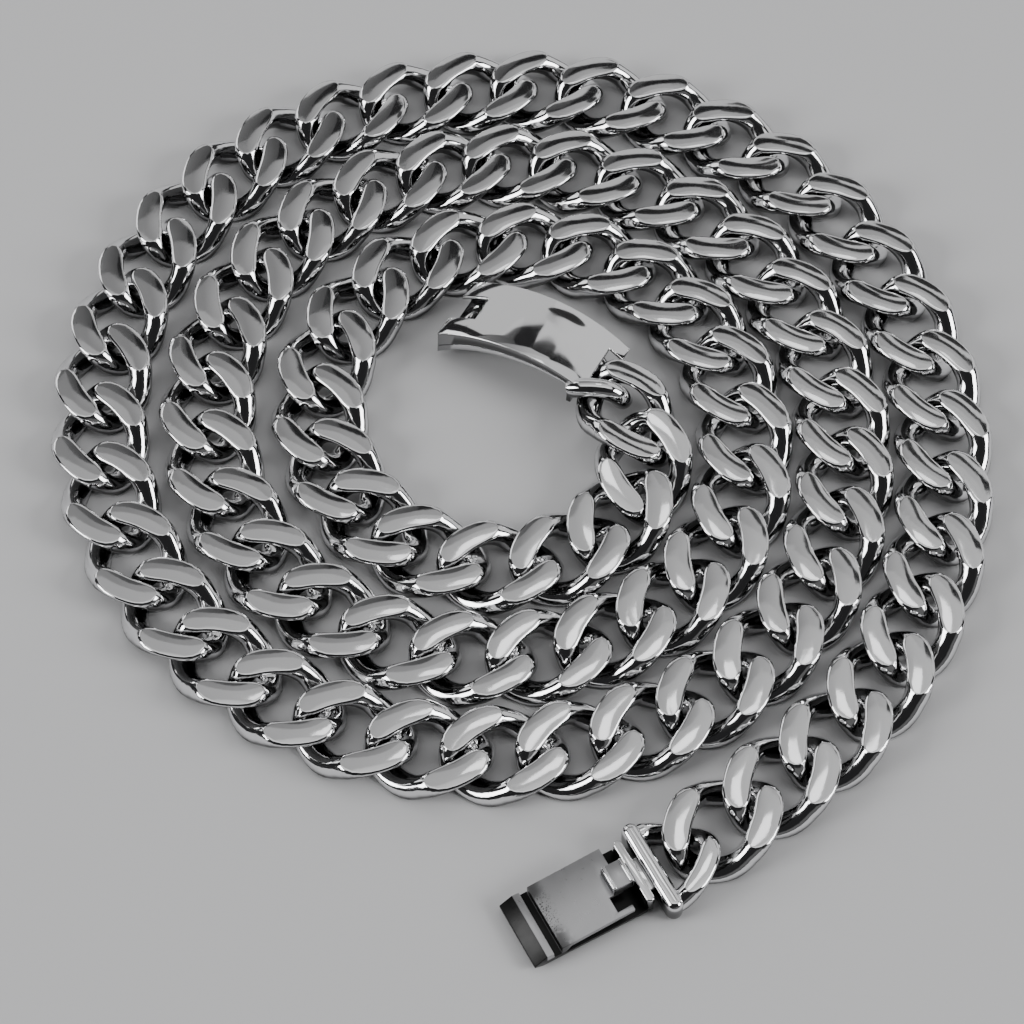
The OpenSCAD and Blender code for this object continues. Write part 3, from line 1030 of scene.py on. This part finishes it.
# %% Tones along the tongue
def tongue_finish(material):
    """Tone along the tongue: dark tip, light ridge, a painted shade in the groove and on the lower strip,
    then the satin leaf.
    """
    tree = material.node_tree
    link = tree.links.new
    where = add_node(tree, "ShaderNodeTexCoord")
    own = add_node(tree, "ShaderNodeMapping", vector_type="TEXTURE")
    own.inputs["Location"].default_value = TONGUE_AT
    own.inputs["Rotation"].default_value = (0, 0, math.radians(TONGUE_YAW))
    link(where.outputs["Object"], own.inputs["Vector"])
    place = own.outputs["Vector"]
    split = add_node(tree, "ShaderNodeSeparateXYZ")
    link(place, split.inputs[0])
    x, y, z = split.outputs

    def reach(source, start, stop, low=0.0, high=1.0):
        return ramp(tree, source, start, stop, low, high, kind="SMOOTHSTEP")

    def combine(kind, a, b):
        node = add_node(tree, "ShaderNodeMath", operation=kind)
        link(a, node.inputs[0])
        link(b, node.inputs[1])
        return node.outputs[0]

    # The groove between ridge and leaf takes the dark colour as a painted shade; the tip takes it too.
    ridge = combine("MULTIPLY", reach(x, RIDGE_X, RIDGE_X + SOFT), reach(x, GROOVE_X + SOFT, GROOVE_X))
    leaf = reach(x, LEAF_X0 - SOFT, LEAF_X0 + SOFT)
    # Painted shade: the lower strip, below the leaf, takes the dark colour.
    above_painted_shade = reach(z, LEAF_Z + LEAF_T + SOFT, LEAF_Z + LEAF_T + 4 * SOFT)
    light = combine("MULTIPLY", combine("MAXIMUM", ridge, leaf), above_painted_shade)
    corners = combine(
        "MAXIMUM",
        reach(y, LEAF_Y + SMUDGE_FAR[0], LEAF_Y + SMUDGE_FAR[1]),
        reach(y, LEAF_Y + SMUDGE_NEAR[0], LEAF_Y + SMUDGE_NEAR[1]),
    )
    pits = noise(tree, place, Scale=PIT_SCALE, Detail=2.0)
    cloud = noise(tree, place, Scale=CLOUD_SCALE, Detail=2.0)
    worn = combine("MULTIPLY", leaf, reach(x, LEAF_X0 + SMUDGE, LEAF_X0))
    pitted = combine("MULTIPLY", worn, reach(pits, *PIT_EDGE))
    smudged = combine("MULTIPLY", combine("MULTIPLY", worn, corners), reach(cloud, *CLOUD_EDGE))
    dull = combine("MAXIMUM", smudged, pitted)
    tone = combine("MULTIPLY", light, reach(dull, 0.0, 1.0, 1.0, DULL_SHARE))
    colour = blend_tones(tree, tone, DIRT_AND_PAINTED_SHADE, SATIN_TONE)
    link(colour, tree.nodes["Principled BSDF"].inputs["Base Color"])


satin_metal = polished_metal("satin_metal", tone=0.72, rough_low=0.22, rough_high=0.38,
                             wave=0.00003, grain=0.000004)
tongue_finish(satin_metal)
print("finish:", satin_metal.name, "with", len(satin_metal.node_tree.nodes), "nodes")

# %% The finished tongue
SATIN = 1
TONGUE_LINK_TAIL = -0.001
STRIP_EDGE = 0.00008
TAB_EDGE = 0.0001
SHOULDER_EDGE = 0.0009
COLLAR_EDGE = 0.0002
NECK_EDGE = 0.0001

tongue_link = half_link(start=-90, stop=90, half_width=HALF_W, face=FACE_Z, tail=TONGUE_LINK_TAIL)
bmesh.ops.translate(tongue_link, vec=(0, 0, FACE_Z), verts=tongue_link.verts)
tongue_solids = [
    (bevelled(strip, STRIP_EDGE), SATIN),
    (tongue_link, POLISH),
    (bevelled(tab, TAB_EDGE), SATIN),
    *tab_ridges,
    (bevelled(shoulder, SHOULDER_EDGE, segments=6, sharp=60), POLISH),
    (bevelled(collar, COLLAR_EDGE, segments=3, sharp=60), POLISH),
    (bevelled(neck, NECK_EDGE), POLISH),
]
tongue_turn = turn(0, 0, TONGUE_YAW)
tongue_finishes = [box_polish, satin_metal]
tongue_of_clasp = joined("tongue_of_clasp", tongue_solids, TONGUE_AT, tongue_turn, tongue_finishes)
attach(tongue_of_clasp, "root")
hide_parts("clasp_tongue")
print("tongue of the clasp:", len(tongue_of_clasp.data.polygons), "faces")

# %% [markdown]
# ## Floor
#
# The chain lies on a plain pale floor with a matt finish, large enough to fill the
# picture from any side. It could be a thick slab, but only its top is ever seen, so a
# single face will do. It sits a hair lower than the chain's ground undersides, because
# two surfaces in one plane would flicker.

# %% A pale floor
FLOOR_SIZE = 3.0
FLOOR_DROP = 0.00006
FLOOR_TONE = (0.7, 0.7, 0.71, 1)
FLOOR_ROUGH = 0.9


def plain_paint(name, colour, roughness):
    """A paint without metal in it, for things that aren't part of the necklace."""
    paint = bpy.data.materials.new(name)
    paint.use_nodes = True
    shader = paint.node_tree.nodes["Principled BSDF"]
    shader.inputs["Base Color"].default_value = colour
    shader.inputs["Roughness"].default_value = roughness
    return paint


floor_paint = plain_paint("floor_paint", FLOOR_TONE, FLOOR_ROUGH)
floor_half = FLOOR_SIZE / 2
floor_corners = [(-floor_half, -floor_half, 0), (floor_half, -floor_half, 0),
                 (floor_half, floor_half, 0), (-floor_half, floor_half, 0)]
floor = mesh_object("floor", floor_corners, [(0, 1, 2, 3)], [0], [floor_paint])
floor.location.z = -FLOOR_DROP
print("floor", FLOOR_SIZE, "across, at", -FLOOR_DROP)

# %% [markdown]
# ## Two black cards
#
# A mirror only looks like metal when it has something dark to show, so studios hang
# black cards near polished things. The crowned plate of the box mirrors two of them as
# dark flecks. We could paint the flecks on the plate, but a painted fleck stays put when
# we walk round it, and a reflection doesn't. The cards are ovals, so that the flecks
# end softly.

# %% Cards that face the plate
FLAG_SIDES = 48
PLATE_MIDDLE = Vector((0, 0.017, 0.007))
FLAG_TONE = (0.01, 0.01, 0.01, 1)
FLAG_ROUGH = 0.5
flag_paint = plain_paint("flag_paint", FLAG_TONE, FLAG_ROUGH)


def black_flag(name, bearing, rise, away, wide, high):
    """An oval of black card that faces the plate. bearing and rise are in degrees."""
    angles = [2 * math.pi * k / FLAG_SIDES for k in range(FLAG_SIDES)]
    edge = [(wide / 2 * math.cos(a), high / 2 * math.sin(a), 0) for a in angles]
    flag = mesh_object(name, edge, [tuple(range(FLAG_SIDES))], [0], [flag_paint])
    level = math.cos(math.radians(rise))
    toward = Vector((
        math.sin(math.radians(bearing)) * level,
        math.cos(math.radians(bearing)) * level,
        math.sin(math.radians(rise)),
    ))
    flag.location = PLATE_MIDDLE + away * toward
    flag.rotation_euler = toward.to_track_quat("Z", "Y").to_euler()
    flag.visible_camera = False
    print(name, "at", tuple(round(v, 3) for v in flag.location))


black_flag("far_flag", bearing=24, rise=39.2, away=0.8, wide=0.32, high=0.15)
black_flag("near_flag", bearing=23, rise=51.8, away=0.5, wide=0.13, high=0.05)

# %% [markdown]
# ## Light
#
# Polished metal shows the studio more than itself. Each ground face mirrors one spot of
# the ceiling, and which spot depends on where the link lies: links far from the camera
# mirror the far lamps, near links the near ones. So three long soft boxes hang over the
# chain, dim at the far side and bright at the near side, and the faces grow lighter from
# the top of the picture to the bottom. Boxes that stand behind the chain light the
# crowned plate, two small ones at the sides draw the white lines on the wire, and three
# more fill in where the metal would be too dark. The rest of the room stays dark. One
# large light dome would be simpler, but everything would then be the same grey.

# %% Soft boxes
FADE = (0.3, 0.7)


def fade_lamp(lamp, left, far, fade):
    """Leave a share of the light at the lamp's left and far edges.

    fade says from where to where across its face the left share grows to the whole.
    """
    lamp.use_nodes = True
    tree = lamp.node_tree
    face = add_node(tree, "ShaderNodeNewGeometry")
    split = add_node(tree, "ShaderNodeSeparateXYZ")
    both = add_node(tree, "ShaderNodeMath", operation="MULTIPLY")
    tree.links.new(face.outputs["Parametric"], split.inputs[0])
    across = ramp(tree, split.outputs[0], *fade, left, 1.0)
    along = ramp(tree, split.outputs[1], 0.0, 1.0, 1.0, far)
    tree.links.new(across, both.inputs[0])
    tree.links.new(along, both.inputs[1])
    tree.links.new(both.outputs[0], tree.nodes["Emission"].inputs["Strength"])


def soft_box(name, place, size, glow, aim=None, left=1.0, far=1.0, fade=FADE):
    """A soft box of a width and a height, turned to the aim, or straight down without one.

    glow is how bright its face looks. left and far are the shares of it at those edges,
    and a share above 1 makes that edge brighter.
    """
    aim = aim or (place[0], place[1], 0)
    lamp = bpy.data.lights.new(name, "AREA")
    lamp.shape = "RECTANGLE"
    lamp.size = size[0]
    lamp.size_y = size[1]
    lamp.energy = glow * math.pi * size[0] * size[1]
    if left != 1 or far != 1:
        fade_lamp(lamp, left, far, fade)
    thing = bpy.data.objects.new(name, lamp)
    thing.location = place
    thing.rotation_euler = (Vector(aim) - Vector(place)).to_track_quat("-Z", "Y").to_euler()
    bpy.context.scene.collection.objects.link(thing)
    print(name, "glows", glow, "from", place)


# %% The lamps: three overhead, three behind, two at the sides and three to fill in
soft_box("far_top", place=(-0.15, 0.53, 0.8), size=(0.9, 0.18), glow=0.55, left=0.45, fade=(0.43, 1.0))
soft_box("top", place=(0.05, 0.295, 0.8), size=(1.3, 0.29), glow=0.66, left=0.7)
soft_box("near_top", place=(0.05, -0.025, 0.8), size=(1.3, 0.35), glow=1.15, far=0.6)
soft_box("back", place=(-0.196, 1.157, 0.575), size=(0.915, 0.85), glow=0.62, aim=(-0.571, 0.23, 0.575))
soft_box("back_right", place=(0.904, 0.713, 0.67), size=(1.458, 1.04), glow=0.72, aim=(0.529, -0.214, 0.67))
soft_box("back_left", place=(-0.77, 0.64, 0.55), size=(0.6, 0.7), glow=1.6, aim=(0, 0, 0.55))
soft_box("left_side", place=(-0.84, -0.25, 0.46), size=(0.45, 0.45), glow=8, aim=(0, 0, 0))
soft_box("right_side", place=(0.84, -0.2, 0.46), size=(0.45, 0.45), glow=8, aim=(0, 0, 0))
soft_box("far_left", place=(-0.35, 0.81, 0.8), size=(0.6, 0.36), glow=0.06, left=3.0, fade=(0.2, 1.0))
soft_box("small_top", place=(0.085, 0.262, 0.79), size=(0.18, 0.12), glow=1.5)
soft_box("front", place=(0.6, -1.1, 0.33), size=(2.2, 0.5), glow=0.1, aim=(0, 0, 0.33))

# %% The dark room
ROOM_TONE = (0.02, 0.02, 0.021, 1)
world = bpy.data.worlds.new("room")
world.use_nodes = True
world.node_tree.nodes["Background"].inputs["Color"].default_value = ROOM_TONE
bpy.context.scene.world = world
print("room tone", ROOM_TONE[:3])

# %% [markdown]
# ## Camera
#
# The camera looks down at sixty degrees from a third of a metre away, as in the
# photograph. A long lens keeps the near links from looming over the far ones. Its place
# is worked out from the point it looks at, the distance and the angle, because these
# three can be judged from a picture and a place can't.

# %% Camera at the photograph's angle
CAMERA_AIM = Vector((-0.0007, -0.0067, 0.0036)) - Vector(MIDDLE)
CAMERA_DISTANCE = 0.3309
CAMERA_ELEVATION = math.radians(60.14)
CAMERA_LENS = 99.7
CAMERA_SENSOR = 36
camera = bpy.data.objects.new("camera", bpy.data.cameras.new("camera"))
camera.data.lens = CAMERA_LENS
camera.data.sensor_width = CAMERA_SENSOR
away = Vector((0, -math.cos(CAMERA_ELEVATION), math.sin(CAMERA_ELEVATION)))
camera.location = CAMERA_AIM + CAMERA_DISTANCE * away
camera.rotation_euler = (math.pi / 2 - CAMERA_ELEVATION, 0, 0)
bpy.context.scene.collection.objects.link(camera)
bpy.context.scene.camera = camera
print("camera at", tuple(round(v, 4) for v in camera.location))
